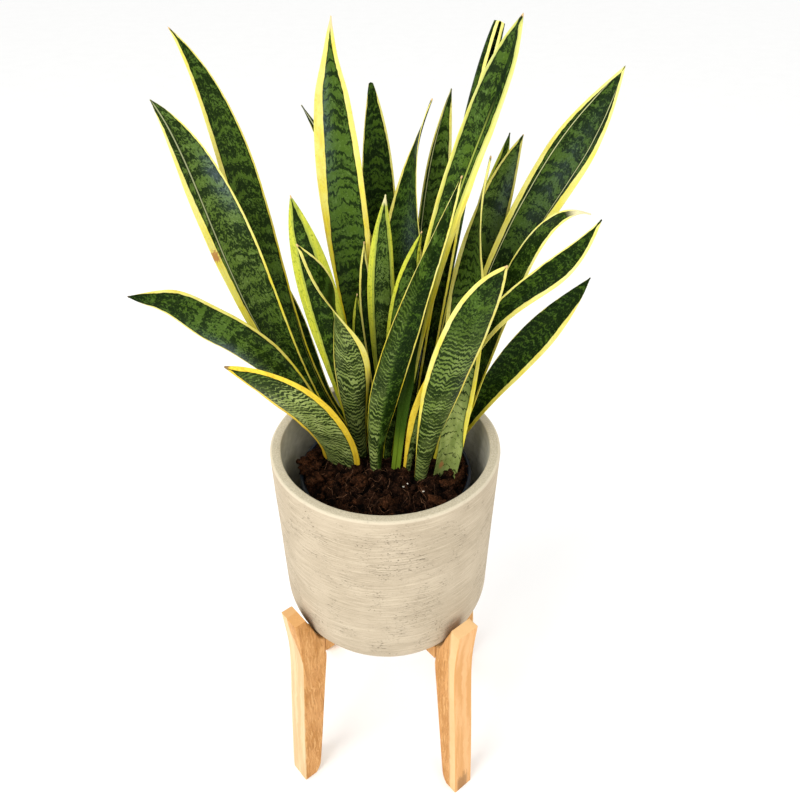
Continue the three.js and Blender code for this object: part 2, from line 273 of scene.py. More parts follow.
def wood_finish(name, turn, shift, outside, streak, end_grain, strip=0, heart=None, stain=0):
    """Pale wood with its figure along Z. The faces that look sideways show a strong wavy figure, and the
    outer face soft streaks. The strip is the width of clear wood next to the outer face. With a heart, the
    figured wood also runs out onto the outer face above that height. The stain is how dark the damp mark at
    the foot is."""
    wood = Finish(name, 0.6, 0.2)
    out, along, up = wood.place(turn)
    height = up
    up = wood.plus(up, shift)
    sway = wood.drawn((out, along, up), (0.05, 0.05, 0.05))
    wander = wood.stray(sway, 9)
    swayed_out, swayed_along = wood.plus(out, wander), wood.plus(along, wander)
    figure = wood.drawn((swayed_out, swayed_along, up), (0.5, 0.4, 0.03), 4, 0.66)
    broad = wood.drawn((out, swayed_along, up), (0.03, 0.13, 0.007), 3)
    glow = wood.drawn((out, along, up), (0.05, 0.05, 0.018))
    side_colour = wood.mix(wood.rise(glow, 0.3, 0.7), "#b98040", "#cf975a")
    side_colour = wood.mix(wood.times(wood.rise(figure, 0.34, 0.5, 1, 0), 0.5), side_colour, "#94632f")
    side_colour = wood.mix(wood.times(wood.rise(figure, 0.5, 0.66), 0.7), side_colour, "#dfae6f")
    face_colour = wood.mix(wood.rise(broad, 0.38, 0.62), streak, outside)
    face_colour = wood.mix(wood.times(wood.rise(figure, 0.3, 0.5, 1, 0), 0.3), face_colour, streak)
    normal = wood.node("TexCoord", {}, output=1)
    facing = wood.parts(wood.node("Mapping", {"Vector": normal, "Rotation": (0, 0, -turn)}))[1]
    sideways = wood.rise(wood.math("ABSOLUTE", facing), 0.55, 0.85)
    below_knee = wood.plus(KNEE_HEIGHT, wood.times(height, -1))
    splay = wood.math("MAXIMUM", wood.times(below_knee, (FOOT_REACH - KNEE_REACH) / KNEE_HEIGHT), 0)
    inset = wood.plus(KNEE_REACH, splay, wood.times(out, -1), wood.times(wander, 0.5))
    figured = wood.times(sideways, wood.rise(inset, strip, strip + 1.5))
    if heart:
        bound = wood.rise(height, heart - 95, heart - 10, 18, -3)
        reach = wood.plus(along, wood.times(bound, -1), wood.times(wander, 0.3))
        figured = wood.math("MAXIMUM", figured, wood.rise(reach, -0.8, 0.8))
    clear_colour = wood.mix(wood.rise(broad, 0.3, 0.7), CLEAR_WOOD, outside)
    face_colour = wood.mix(sideways, face_colour, clear_colour)
    colour = wood.mix(figured, face_colour, side_colour)
    # Painted shade: a thin darker line along the inner edge of the clear strip, standing in for the shadow of
    # a small step in the wood there.
    off_strip_edge = wood.math("ABSOLUTE", wood.plus(inset, -strip))
    strip_edge_shade = wood.times(wood.rise(off_strip_edge, 0.3, 1.6, 0.35, 0), sideways)
    colour = wood.mix(strip_edge_shade, colour, "#a8703a")
    if stain:
        ragged_height = wood.plus(height, wood.stray(figure, 60))
        off_middle = wood.math("ABSOLUTE", wood.plus(along, 2))
        damp = wood.rise(ragged_height, 20, 42, stain, 0)
        damp = wood.times(damp, wood.rise(off_middle, 7, 12, 1, 0))
        colour = wood.mix(damp, colour, "#8a6236")
    top = wood.rise(wood.parts(normal)[2], 0.6, 0.9)
    colour = wood.mix(wood.times(top, 0.8), colour, end_grain)
    wood.give("Base Color", colour)
    wood.give("Roughness", wood.rise(figure, 0.3, 0.7, 0.66, 0.52))
    wood.relief(wood.times(figure, wood.plus(0.15, sideways)), 0.5)
    return wood


CLEAR_WOOD = "#dfc08b"
LEG_LOOKS = {
    1: {"outside": "#e5b076", "streak": "#d69c5c", "end_grain": "#e6c08a", "strip": 11, "stain": 0.7},
    2: {"outside": "#ddb17a", "streak": "#cb9557", "end_grain": "#cf9f66", "strip": 2},
    3: {"outside": "#e0bb85", "streak": "#d0a064", "end_grain": "#cf9f66", "strip": 3},
    4: {"outside": "#dac396", "streak": "#d2b080", "end_grain": "#d8a468", "heart": 347},
}
for number, looks in LEG_LOOKS.items():
    turn = radians(LEG_TURN + 90 * (number - 1))
    wood = wood_finish(f"wood_leg_{number}", turn, 137 * number, **looks)
    leg = show(f"wood_leg_{number}", leg_mesh(turn), wood)
    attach(leg, "root")
    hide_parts(f"leg_{number}")

BAR_LOOKS = {"outside": "#dcae73", "streak": "#c08a4e", "end_grain": "#c99a60"}
for name, turn in (("bar_lower", LEG_TURN), ("bar_upper", LEG_TURN + 90)):
    wood = wood_finish(f"wood_{name}", radians(turn), 40, **BAR_LOOKS)
    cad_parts[name].data.materials.clear()
    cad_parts[name].data.materials.append(wood.material)


# The planter: a round tub cast in grey-beige fibre clay. Its skin is brushed round and round while it is wet,
# which leaves fine wavy lines and small pits. The rim and the inside are smoother.
PLANTER = {"bottom": 289, "floor": 310, "rim": 553, "foot": 108, "inner": 127, "outer": 140}
PLANTER_STEPS = 160


def corner(start, end, steps, flat_first):
    """A quarter of an ellipse between two points of a profile. It leaves the first point flat or upright."""
    points = []
    for i in range(1, steps + 1):
        angle = i / steps * pi / 2
        out = sin(angle) if flat_first else 1 - cos(angle)
        rise = 1 - cos(angle) if flat_first else sin(angle)
        points.append((start[0] + (end[0] - start[0]) * out, start[1] + (end[1] - start[1]) * rise))
    return points


def spun(profile, steps):
    """A body turned from a profile of distances from the axis and heights, which starts and ends on the
    axis."""
    bm = bmesh.new()
    verts = [bm.verts.new((r, 0, z)) for r, z in profile]
    edges = [bm.edges.new(pair) for pair in zip(verts, verts[1:])]
    bmesh.ops.spin(
        bm, geom=verts + edges, cent=(0, 0, 0), axis=(0, 0, 1), angle=2 * pi, steps=steps, use_merge=True
    )
    bmesh.ops.remove_doubles(bm, verts=bm.verts, dist=0.001)
    bmesh.ops.recalc_face_normals(bm, faces=bm.faces)
    return bm


planter_profile = [
    (0, PLANTER["bottom"]),
    (60, PLANTER["bottom"]),
    (PLANTER["foot"], PLANTER["bottom"]),
    *corner((PLANTER["foot"], PLANTER["bottom"]), (135, 339), 14, flat_first=True),
    (136.2, 390),
    (137.4, 445),
    (138.7, 500),
    (PLANTER["outer"], 550),
    *corner((PLANTER["outer"], 550), (137, PLANTER["rim"]), 5, flat_first=False),
    (132.5, PLANTER["rim"] + 0.2),
    (128.6, PLANTER["rim"]),
    *corner((128.6, PLANTER["rim"]), (PLANTER["inner"], 551.4), 3, flat_first=True),
    (125, 450),
    (122, 338),
    *corner((122, 338), (100, PLANTER["floor"]), 8, flat_first=False),
    (50, PLANTER["floor"]),
    (0, PLANTER["floor"]),
]
planter_bm = spun(planter_profile, PLANTER_STEPS)
for vert in planter_bm.verts:
    swell = noise.noise(Vector((vert.co.x, vert.co.y, vert.co.z * 1.6)) * 0.022) * 0.5
    radius = hypot(vert.co.x, vert.co.y)
    if radius > 1 and vert.co.z > PLANTER["bottom"] + 1:
        vert.co.x += swell * vert.co.x / radius
        vert.co.y += swell * vert.co.y / radius
to_metres(planter_bm)

clay = Finish("fibre_clay", 0.85, 0.15)
clay_spot = clay.spot()
clay_x, clay_y, clay_z = clay.parts(clay_spot)
drift = clay.drawn((clay_x, clay_y, clay_z), (0.03, 0.03, 0.06))
height = clay.plus(clay_z, clay.stray(drift, 6))


def strokes(wide, high, shift, detail=3):
    """Noise drawn out round the planter: strokes some millimetres wide and high."""
    round_x, round_y = clay.times(clay_x, 1 / wide), clay.times(clay_y, 1 / wide)
    drawn = clay.join(round_x, round_y, clay.times(height, 1 / high))
    shifted = clay.node("VectorMath", {0: drawn, 1: (shift, shift, shift)}, operation="ADD")
    return clay.cloud(shifted, detail, 0.6)


brushed = strokes(38, 1.4, 0)
scratched = strokes(26, 1.3, 31, 2)
grit = clay.cloud(clay_spot, detail=3, rough=0.7, scale=0.8)
patches = clay.cloud(clay_spot, detail=3, scale=0.02)
worn = clay.rise(clay.cloud(clay_spot, scale=0.028), 0.46, 0.6)
pits = clay.rise(strokes(3.6, 1.4, 57, 2), 0.33, 0.37, 1, 0)
pits = clay.times(pits, clay.plus(0.25, clay.times(worn, 0.75)))
radius = clay.math("SQRT", clay.plus(clay.times(clay_x, clay_x), clay.times(clay_y, clay_y)))
past_inner = clay.plus(radius, -PLANTER["inner"])
under_rim = clay.plus(clay_z, -PLANTER["rim"])
outside = clay.times(clay.rise(past_inner, 2, 5), clay.rise(under_rim, -7, -3, 1, 0))
below_rim = clay.rise(under_rim, -48, -8, 1, 0.35)
lines = clay.times(clay.times(outside, below_rim), clay.rise(brushed, 0.4, 0.5, 1, 0))
scratches = clay.times(clay.times(outside, worn), clay.rise(scratched, 0.36, 0.42, 1, 0))
colour = clay.mix(clay.rise(patches, 0.35, 0.65), "#b6a78f", "#bfb098")
colour = clay.mix(clay.times(lines, 0.3), colour, "#948670")
colour = clay.mix(clay.times(clay.rise(brushed, 0.54, 0.66), clay.times(outside, 0.4)), colour, "#d5c7ad")
colour = clay.mix(clay.times(scratches, 0.36), colour, "#83745e")
colour = clay.mix(clay.times(clay.rise(grit, 0.5, 0.75), 0.22), colour, "#d8ccb4")
colour = clay.mix(clay.times(pits, clay.times(outside, 0.8)), colour, "#6c604d")
lip = clay.rise(under_rim, -1.2, -0.4)
lip_colour = clay.mix(clay.rise(grit, 0.38, 0.62), "#b3a88f", "#c8bea7")
colour = clay.mix(lip, colour, lip_colour)
# Painted highlight: a thin lighter ring along the rounded outer edge of the rim, where the light from above
# catches it.
bright = clay.times(clay.rise(past_inner, 9.6, 10.6), clay.rise(under_rim, -3.2, -2))
colour = clay.mix(clay.times(bright, 0.5), colour, "#ddd2b9")
inner_strokes = clay.rise(strokes(14, 9, 11), 0.3, 0.7)
inside_colour = clay.mix(inner_strokes, "#b0ac9c", "#c4c0b0")
clay.give("Base Color", clay.mix(clay.rise(past_inner, -0.4, 0.6), inside_colour, colour))
relief = clay.plus(
    clay.times(clay.times(brushed, outside), 0.6), clay.times(grit, 0.15), clay.times(pits, -0.8),
    clay.times(scratches, -0.4),
)
clay.relief(relief, 0.5)
planter = show("clay_planter", planter_bm, clay)
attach(planter, "root")
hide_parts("planter")


# The nursery pot: a thin dark blue-black plastic pot with a turned-over lip, moulded in one piece. It
# stands loose in the planter and can be lifted out.
NURSERY = {"bottom": 310.3, "top": 510.3, "lip": 499.3, "inner_foot": 79}
nursery_profile = [
    (0, NURSERY["bottom"]),
    (76, NURSERY["bottom"]),
    *corner((78, NURSERY["bottom"]), (80, NURSERY["bottom"] + 2), 3, flat_first=True),
    (102.6, NURSERY["lip"]),
    (106.2, NURSERY["lip"]),
    *corner((106.2, NURSERY["lip"]), (107, NURSERY["lip"] + 0.8), 2, flat_first=True),
    (107, NURSERY["top"] - 1.8),
    *corner((107, NURSERY["top"] - 1.8), (104.8, NURSERY["top"]), 4, flat_first=False),
    *corner((104.8, NURSERY["top"]), (102.5, NURSERY["top"] - 1.5), 3, flat_first=True),
    (NURSERY["inner_foot"], NURSERY["bottom"] + 1.5),
    (0, NURSERY["bottom"] + 1.5),
]
nursery_bm = spun(nursery_profile, 128)
for edge in nursery_bm.edges:
    edge.smooth = edge.calc_face_angle(0) < radians(35)
to_metres(nursery_bm)
plastic = Finish("dark_plastic", 0.4)
plastic_spot = plastic.spot()
dust = plastic.rise(plastic.cloud(plastic_spot, detail=5, rough=0.7, scale=0.09), 0.5, 0.72)
plastic.give("Base Color", plastic.mix(plastic.times(dust, 0.6), "#1c222b", "#4b4642"))
plastic.give("Roughness", plastic.plus(0.36, plastic.times(dust, 0.4)))
rings = plastic.math("SINE", plastic.times(plastic.parts(plastic_spot)[2], 2.2))
plastic.relief(plastic.plus(plastic.times(rings, 0.1), plastic.times(dust, 0.3)), 0.3)
nursery = show("plastic_nursery_pot", nursery_bm, plastic)
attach(nursery, "root")
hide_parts("nursery_pot")


# The soil: reddish brown coir and peat in loose crumbs, which fill the nursery pot. Coir fibres and a few
# white grains lie on it, and loose clods are heaped against the lip.
SOIL_RADIUS = 101.6
SOIL_TOP = 513
SOIL_CELLS = 230
MOUND = {"reach": 104, "fall": 5, "lumps": 2.2}


def soil_height(x, y):
    """The low mound that the CAD soil has too."""
    reach = hypot(x, y) / MOUND["reach"]
    lumps = sin(x * 0.21 + 1.3) * sin(y * 0.19 + 0.4)
    lumps += 0.7 * sin(x * 0.37 + y * 0.29 + 2.1) + 0.5 * sin(y * 0.53 - x * 0.41)
    return SOIL_TOP - MOUND["fall"] * reach * reach + MOUND["lumps"] * lumps


def crumb_height(x, y):
    """The crumbs on the mound: rounded clods about a centimetre across with deep gaps, and fine grit on
    them."""
    sway = Vector((noise.noise(Vector((x, y, 9)) * 0.12), noise.noise(Vector((y, x, 4)) * 0.12), 0))
    bent = Vector((x, y, 0)) + 6 * sway
    clods = noise.voronoi(bent * 0.085)[0][0]
    small = noise.voronoi(Vector((x, y, 3)) * 0.21)[0][0]
    grit = noise.fractal(Vector((x, y, 0)) * 0.3, 0.7, 2.1, 4)
    return 9.5 * (0.42 - clods ** 1.3) + 3.6 * (0.4 - small) + 1.5 * grit


soil_bm = bmesh.new()
bmesh.ops.create_grid(soil_bm, x_segments=SOIL_CELLS, y_segments=SOIL_CELLS, size=1)
raised_layer = soil_bm.verts.layers.float_vector.new("raised")
for vert in soil_bm.verts:
    x, y = vert.co.x, vert.co.y
    x, y = x * (1 - y * y / 2) ** 0.5 * SOIL_RADIUS, y * (1 - x * x / 2) ** 0.5 * SOIL_RADIUS
    edge_share = min(1, (SOIL_RADIUS - hypot(x, y)) / 6)
    raised = crumb_height(x, y) * (0.4 + 0.6 * edge_share)
    vert.co = (x, y, soil_height(x, y) + raised)
    vert[raised_layer] = (raised, 0, 0)
rim_edges = [edge for edge in soil_bm.edges if edge.is_boundary]
for vert in new_verts(bmesh.ops.extrude_edge_only(soil_bm, edges=rim_edges)):
    shrink = NURSERY["inner_foot"] / hypot(vert.co.x, vert.co.y)
    vert.co = (vert.co.x * shrink, vert.co.y * shrink, NURSERY["bottom"] + 2)
bmesh.ops.holes_fill(soil_bm, edges=[edge for edge in soil_bm.edges if edge.is_boundary], sides=0)
bmesh.ops.recalc_face_normals(soil_bm, faces=soil_bm.faces)
to_metres(soil_bm)


def coir_finish(name, deep, ground, warm, pale):
    """Matt brown crumbs with warmer and paler bits where the fibres lie open. The gaps between the clods and
    the hollows of the fine relief are darkened as painted shade, and the clods' raised tops get a painted
    warm highlight.
    """
    coir = Finish(name, 0.95, 0.05)
    spot = coir.spot()
    clods = coir.cloud(spot, detail=3, rough=0.6, scale=0.09)
    crumbs = coir.cloud(spot, detail=6, rough=0.8, scale=0.5)
    strands = coir.node("Mapping", {"Vector": spot, "Scale": (1.3, 0.3, 0.6), "Rotation": (0.3, 0.2, 0.6)})
    strands = coir.cloud(strands, detail=3)
    colour = coir.mix(coir.rise(clods, 0.4, 0.62), deep, ground)
    warmth = coir.times(coir.rise(crumbs, 0.48, 0.62), coir.rise(clods, 0.4, 0.6, 0.25, 0.9))
    colour = coir.mix(warmth, colour, warm)
    colour = coir.mix(coir.times(coir.rise(strands, 0.58, 0.68), 0.5), colour, pale)
    # Painted shade: near black where the fine relief is lowest.
    colour = coir.mix(coir.times(coir.rise(crumbs, 0.34, 0.46, 1, 0), 0.85), colour, "#060302")
    raised = coir.attribute("raised")[0]
    # Painted highlight: a warmer colour on the raised tops of the clods.
    painted_highlight_tops = coir.times(coir.rise(raised, 1, 4.5, 0, 0.75), coir.rise(crumbs, 0.44, 0.6))
    colour = coir.mix(painted_highlight_tops, colour, warm)
    # Painted shade: near black in the low gaps between the clods.
    colour = coir.mix(coir.rise(raised, -4, 0.6, 0.92, 0), colour, "#060302")
    coir.give("Base Color", colour)
    coir.relief(crumbs, 2.2)
    return coir


coir = coir_finish("coir_soil", "#0a0503", "#22120a", "#4a2d1d", "#6a4a34")
soil = show("coir_soil", soil_bm, coir)
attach(soil, "root")
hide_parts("soil")

CRUMBS = 460
LUMPS = 95
CLODS = 80
HEAPED = (
    (-100, 4, 8), (-97, -12, 7.5), (-94, 19, 6.5), (-90, -30, 7), (-103, -4, 5.5), (-88, -2, 7),
    (-84, -18, 6), (95, -5, 6.5), (84, -34, 7), (91, -20, 5.5), (82, -12, 6),
)
GRAINS = 4
SEEN_GRAINS = ((22, -37, 1.2), (27, -36, 0.9), (46, -46, 1.1))
FIBRES = 120
FIBRE_STEPS = 6
draw = random.Random(28)


def soil_spot(reach=SOIL_RADIUS - 5):
    """A random place on the soil, even over its surface."""
    angle, radius = draw.uniform(0, 2 * pi), reach * draw.random() ** 0.5
    x, y = radius * cos(angle), radius * sin(angle)
    return Vector((x, y, soil_height(x, y) + crumb_height(x, y)))


def add_lump(bm, spot, size, fineness, rugged=0.55):
    """One angular lump, half sunk in the soil."""
    made = bmesh.ops.create_icosphere(bm, subdivisions=fineness, radius=size)["verts"]
    shift = Vector([draw.uniform(-50, 50) for _ in range(3)])
    for vert in made:
        vert.co *= 1 + rugged * noise.fractal(vert.co * (1.3 / size) + shift, 0.8, 2.2, 3)
    squash = Matrix.Diagonal((draw.uniform(0.8, 1.5), draw.uniform(0.7, 1), draw.uniform(0.5, 0.9)))
    turn = Matrix.Rotation(draw.uniform(0, 2 * pi), 3, "Z") @ Matrix.Rotation(draw.uniform(-0.6, 0.6), 3, "X")
    bmesh.ops.transform(bm, verts=made, matrix=(turn @ squash).to_4x4())
    bmesh.ops.translate(bm, verts=made, vec=spot + Vector((0, 0, size * 0.15)))


def scatter_lumps(bm, count, smallest, largest, fineness, rugged=0.55):
    for _ in range(count):
        size = smallest + (largest - smallest) * draw.random() ** 3
        add_lump(bm, soil_spot(), size, fineness, rugged)


crumbs_bm = bmesh.new()
scatter_lumps(crumbs_bm, CRUMBS, 0.8, 2.6, 1)
scatter_lumps(crumbs_bm, LUMPS, 2.4, 5, 2)
to_metres(crumbs_bm)
crumbs = show("soil_crumbs", crumbs_bm, coir)

clods_bm = bmesh.new()
scatter_lumps(clods_bm, CLODS, 4, 9.5, 3, 0.9)
for x, y, size in HEAPED:
    add_lump(clods_bm, Vector((x, y, SOIL_TOP + 1)), size, 3, 0.9)
to_metres(clods_bm)
warm_coir = coir_finish("coir_clod", "#180c06", "#3a2112", "#6a4027", "#825a40")
clods = show("soil_clods", clods_bm, warm_coir)

grains_bm = bmesh.new()
scatter_lumps(grains_bm, GRAINS, 0.6, 1.3, 1)
for x, y, size in SEEN_GRAINS:
    add_lump(grains_bm, Vector((x, y, soil_height(x, y) + crumb_height(x, y) + 2)), size, 2)
to_metres(grains_bm)
white_grain = Finish("white_grain", 0.9)
grain_shade = white_grain.cloud(white_grain.spot(), detail=3, scale=0.6)
white_grain.give("Base Color", white_grain.mix(grain_shade, "#c9bda9", "#f0e9dc"))
white_grain.relief(grain_shade, 0.4)
grains = show("white_grains", grains_bm, white_grain)

fibre_curves = bpy.data.curves.new("coir_fibres", "CURVE")
fibre_curves.dimensions = "3D"
fibre_curves.bevel_depth = 0.22 * MM
fibre_curves.bevel_resolution = 0
fibre_curves.use_fill_caps = True
for _ in range(FIBRES):
    start = soil_spot(SOIL_RADIUS - 12) + Vector((0, 0, 0.8))
    heading, bend = draw.uniform(0, 2 * pi), draw.uniform(-0.5, 0.5)
    length, lift = draw.uniform(6, 26), draw.uniform(0, 5)
    strand = fibre_curves.splines.new("POLY")
    strand.points.add(FIBRE_STEPS)
    spot = start.copy()
    for i, point in enumerate(strand.points):
        over = lift * sin(pi * i / FIBRE_STEPS)
        ground = soil_height(spot.x, spot.y) + crumb_height(spot.x, spot.y)
        point.co = (spot.x * MM, spot.y * MM, (ground + 0.4 + over) * MM, 1)
        point.radius = draw.uniform(0.6, 1.2)
        spot += Vector((cos(heading), sin(heading), 0)) * length / FIBRE_STEPS
        heading += bend
fibre_tubes = bpy.data.objects.new("fibre_tubes", fibre_curves)
scene.collection.objects.link(fibre_tubes)
fibre_mesh = bpy.data.meshes.new_from_object(fibre_tubes.evaluated_get(bpy.context.evaluated_depsgraph_get()))
bpy.data.objects.remove(fibre_tubes)
fibre_bm = bmesh.new()
fibre_bm.from_mesh(fibre_mesh)
bmesh.ops.remove_doubles(fibre_bm, verts=fibre_bm.verts, dist=0.00001)
bmesh.ops.recalc_face_normals(fibre_bm, faces=fibre_bm.faces)
coir_fibre = Finish("coir_fibre", 0.8)
fibre_shade = coir_fibre.rise(coir_fibre.cloud(coir_fibre.spot(), scale=0.12), 0.3, 0.7)
coir_fibre.give("Base Color", coir_fibre.mix(fibre_shade, "#3c2213", "#94694a"))
fibres = show("coir_fibres", fibre_bm, coir_fibre)
for loose in (crumbs, clods, grains, fibres):
    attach(loose, "root")


# The leaves: thick sword-shaped blades that rise from the soil, channelled at the foot and nearly flat above.
# The middle is banded dark and light green, in zigzags made by its long cells, and the margins are yellow.
LINE_PERIOD = 6
BLADE_AROUND = 44
BLADE_ALONG = 110
BURIED = 26
BURIED_SHARE = 0.03
TIP_CROWDING = 1.2
ACUTE_FROM, ACUTE_TO = 0.79, 0.93
ARCH_REACH, GROOVE_WIDTH, PAINTED_SHEEN_WIDTH = 0.11, 0.16, 0.45
BLADE = {"foot_thickness": 6, "tip_thickness": 2, "margin_thickness": 1.1, "tip_half_width": 0.8}


def leaf(number, foot, low, high, tip, width, looks, margins, pale, **more):
    """The same figures as in the CAD part, then the finish. looks is one figure where all four are alike.
    margins gives the yellow margins' widths in mm on the side of u = -1, then u = +1. pale gives how light
    the middle is on the outer side, then on the hollow side, and dark how much of it the dark marks cover.
    Their figures stand evenly spaced from the foot to the tip. widest to acute shape the outline. band,
    chevron and skew lay the dark bands. closed and dry are the lengths at the tip where the margins run out
    and where it has dried. stripes are dark lines with a pale thread, each with its place at the foot and
    the tip and its width."""
    return {
        "name": f"leaf_{number}", "number": int(number), "foot": (*foot, 0), "low": low, "high": high,
        "tip": tip, "width": width, "looks": looks if isinstance(looks, tuple) else (looks,) * 4,
        "margins": margins, "pale": pale,
        "widest": 0.54, "foot_share": 0.42, "taper": 2, "blunt": 0, "hollow": (70, 18), "acute": 0,
        "arch": (0, 0.85), "stripes": (), "thread": "#d9dc9a", "thread_from": 0, "band": 15, "chevron": 0.35,
        "skew": 0, "rungs": 0.04, "dark": (0.5,), "lined": True, "plain": 0, "bare": 0, "yellow": "lemon",
        "melt": 0, "fold": (1, 0), "bloom": (0, 0, 0, 0), "scar": None, "closed": 12, "dry": 4,
        "dried": "#d3b27c", **more,
    }


YELLOWS = {
    "lemon": {"ground": "#e0cf28", "deep": "#ccae1c", "light": "#dfdb86", "spots": 0.35},
    "bright": {"ground": "#ecdf40", "deep": "#d6be28", "light": "#ece894", "spots": 0.35},
    "lime": {"ground": "#cdca26", "deep": "#78871d", "light": "#c6ca4c", "spots": 0.7},
    "gold": {"ground": "#e0b91a", "deep": "#b98a16", "light": "#ebd24a", "spots": 0.4},
}

